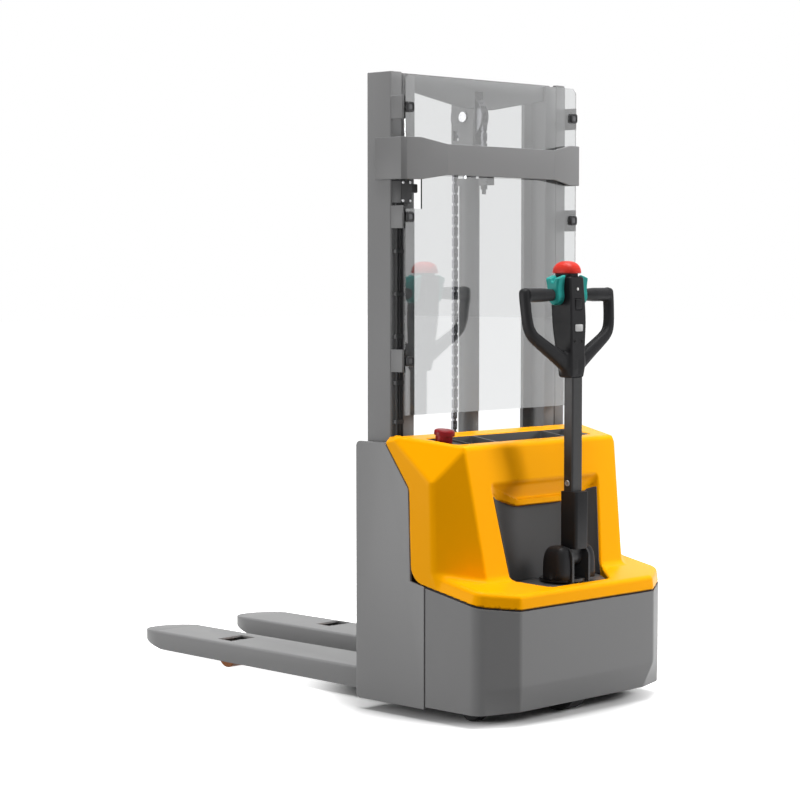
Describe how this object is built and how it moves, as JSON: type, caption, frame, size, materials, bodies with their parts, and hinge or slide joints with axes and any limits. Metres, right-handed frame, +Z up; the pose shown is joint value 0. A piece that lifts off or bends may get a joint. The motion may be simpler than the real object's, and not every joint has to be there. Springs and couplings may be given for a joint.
{
  "type": "electric stacker",
  "caption": "Pedestrian electric stacker with a telescopic mast, straddled pallet forks, a moulded drive hood and a tilting tiller with grip loops.",
  "frame": {"origin": "centre of the footprint on the floor", "axes": "+X to the truck's right seen by the operator, +Y towards the fork tips, +Z up"},
  "size_m": [0.8, 1.695, 1.81],
  "materials": {
    "grey_paint": "satin powder coat",
    "yellow_moulding": "satin moulded",
    "recess_plastic": "fine grained",
    "dark_plastic": "fine grained",
    "black_plastic": "satin",
    "clear_sheet": "clear",
    "bright_steel": "machined",
    "chain_steel": "oiled",
    "chrome_rod": "polished",
    "dark_steel": "satin",
    "iron": "rough",
    "aluminium": "ribbed",
    "teal_plastic": "satin",
    "red_plastic": "satin",
    "stop_red": "satin",
    "roller_urethane": "smooth",
    "black_tyre": "rubber",
    "cable_rubber": "satin"
  },
  "bodies": {
    "chassis": {"left_side_plate": "grey_paint", "right_side_plate": "grey_paint", "chassis_frame": "grey_paint", "rear_skirt": "grey_paint", "hood": "yellow_moulding", "tiller_recess_panel": "recess_plastic", "storage_tray": "dark_plastic", "e_stop_base": "stop_red", "left_support_leg": "grey_paint", "right_support_leg": "grey_paint", "load_roller_axles": "bright_steel", "left_outer_mast": "grey_paint", "right_outer_mast": "grey_paint", "mast_crossbar": "grey_paint", "mast_guard": "clear_sheet", "guard_brackets": "dark_steel", "guard_clips": "black_plastic", "lift_cylinder": "grey_paint", "chain_anchor": "grey_paint", "fixed_chain_run": "chain_steel", "height_switch": "black_plastic", "mast_cables": "cable_rubber", "battery_pack": "black_plastic", "motor_controller": "aluminium", "pump_unit": "dark_steel"},
    "inner_mast": {"left_inner_mast": "grey_paint", "right_inner_mast": "grey_paint", "inner_mast_crossmembers": "grey_paint", "piston_rod": "chrome_rod", "pulley_axle": "bright_steel", "chain_wrap": "chain_steel"},
    "chain_pulley": {"chain_pulley": "chain_steel"},
    "mast_rollers": {"mast_lower_rollers": "bright_steel"},
    "fork_carriage": {"carriage_frame": "grey_paint", "left_fork": "grey_paint", "right_fork": "grey_paint", "carriage_chain_run": "chain_steel"},
    "carriage_upper_rollers": {"carriage_upper_rollers": "bright_steel"},
    "carriage_lower_rollers": {"carriage_lower_rollers": "bright_steel"},
    "drive_unit": {"drive_gearbox": "iron", "drive_motor": "dark_steel", "tiller_base": "dark_steel", "tiller_base_covers": "dark_plastic"},
    "drive_wheel": {"drive_wheel": "iron", "drive_tyre": "black_tyre"},
    "tiller": {"tiller_arm": "dark_steel", "arm_lower_cover": "dark_plastic", "tiller_head": "dark_plastic", "left_grip_loop": "dark_plastic", "right_grip_loop": "dark_plastic"},
    "travel_butterfly": {"travel_butterfly": "teal_plastic"},
    "belly_button": {"belly_button": "red_plastic"},
    "lift_rocker": {"lift_rocker": "black_plastic"},
    "e_stop_button": {"e_stop_button": "stop_red"},
    "left_castor": {"left_castor_fork": "bright_steel"},
    "left_castor_wheel": {"left_castor_wheel": "black_tyre"},
    "right_castor": {"right_castor_fork": "bright_steel"},
    "right_castor_wheel": {"right_castor_wheel": "black_tyre"},
    "left_load_roller": {"left_load_roller": "roller_urethane"},
    "right_load_roller": {"right_load_roller": "roller_urethane"}
  },
  "joints": [
    {"name": "mast_lift", "type": "slide", "parent": "chassis", "child": "inner_mast", "axis": [0, 0, 1], "range_m": [0, 1.2], "deforming": ["fixed_chain_run"]},
    {"name": "carriage_lift", "type": "slide", "parent": "inner_mast", "child": "fork_carriage", "axis": [0, 0, 1], "range_m": [0, 1.2], "deforming": ["carriage_chain_run"]},
    {"name": "chain_pulley_spin", "type": "hinge", "parent": "inner_mast", "child": "chain_pulley", "pos_m": [0, -0.3785, 1.7], "axis": [1, 0, 0], "continuous": true},
    {"name": "mast_roller_spin", "type": "hinge", "parent": "inner_mast", "child": "mast_rollers", "pos_m": [0, -0.38, 0.14], "axis": [1, 0, 0], "continuous": true},
    {"name": "carriage_upper_roller_spin", "type": "hinge", "parent": "fork_carriage", "child": "carriage_upper_rollers", "pos_m": [0, -0.38, 0.425], "axis": [1, 0, 0], "continuous": true},
    {"name": "carriage_lower_roller_spin", "type": "hinge", "parent": "fork_carriage", "child": "carriage_lower_rollers", "pos_m": [0, -0.38, 0.14], "axis": [1, 0, 0], "continuous": true},
    {"name": "tiller_steer", "type": "hinge", "parent": "chassis", "child": "drive_unit", "pos_m": [0, -0.7465, 0.21], "axis": [0, 0, 1], "range_deg": [-80, 80]},
    {"name": "drive_wheel_spin", "type": "hinge", "parent": "drive_unit", "child": "drive_wheel", "pos_m": [0, -0.7465, 0.075], "axis": [1, 0, 0], "continuous": true},
    {"name": "tiller_tilt", "type": "hinge", "parent": "drive_unit", "child": "tiller", "pos_m": [0, -0.7735, 0.44], "axis": [1, 0, 0], "range_deg": [0, 75], "stiffness_Nm_per_rad": 30, "springref_deg": -14.32},
    {"name": "travel_butterfly_turn", "type": "hinge", "parent": "tiller", "child": "travel_butterfly", "pos_m": [0, -0.7595, 1.183], "axis": [1, 0, 0], "range_deg": [-20, 20], "stiffness_Nm_per_rad": 2.5},
    {"name": "belly_button_press", "type": "slide", "parent": "tiller", "child": "belly_button", "axis": [0, 0, -1], "range_m": [0, 0.004], "stiffness_N_per_m": 800, "springref_m": -0.004},
    {"name": "lift_rocker_tip", "type": "hinge", "parent": "tiller", "child": "lift_rocker", "pos_m": [0, -0.7925, 1.157], "axis": [1, 0, 0], "range_deg": [-6, 6], "stiffness_Nm_per_rad": 0.6},
    {"name": "e_stop_press", "type": "slide", "parent": "chassis", "child": "e_stop_button", "axis": [0, 0.1255, -0.9921], "range_m": [0, 0.005]},
    {"name": "left_castor_swivel", "type": "hinge", "parent": "chassis", "child": "left_castor", "pos_m": [-0.303, -0.6665, 0.16], "axis": [0, 0, 1], "continuous": true},
    {"name": "left_castor_wheel_spin", "type": "hinge", "parent": "left_castor", "child": "left_castor_wheel", "pos_m": [-0.303, -0.6865, 0.04], "axis": [1, 0, 0], "continuous": true},
    {"name": "right_castor_swivel", "type": "hinge", "parent": "chassis", "child": "right_castor", "pos_m": [0.303, -0.6665, 0.16], "axis": [0, 0, 1], "continuous": true},
    {"name": "right_castor_wheel_spin", "type": "hinge", "parent": "right_castor", "child": "right_castor_wheel", "pos_m": [0.303, -0.6865, 0.04], "axis": [1, 0, 0], "continuous": true},
    {"name": "left_load_roller_spin", "type": "hinge", "parent": "chassis", "child": "left_load_roller", "pos_m": [-0.2, 0.4495, 0.04], "axis": [1, 0, 0], "continuous": true},
    {"name": "right_load_roller_spin", "type": "hinge", "parent": "chassis", "child": "right_load_roller", "pos_m": [0.2, 0.4495, 0.04], "axis": [1, 0, 0], "continuous": true}
  ],
  "couplings": [
    {"joint": "carriage_lift", "follows": "mast_lift", "ratio": 1},
    {"joint": "chain_pulley_spin", "follows": "mast_lift", "rad_per_m": 17.241},
    {"joint": "mast_roller_spin", "follows": "mast_lift", "rad_per_m": 27.624},
    {"joint": "carriage_upper_roller_spin", "follows": "mast_lift", "rad_per_m": -27.624},
    {"joint": "carriage_lower_roller_spin", "follows": "mast_lift", "rad_per_m": 27.624}
  ]
}
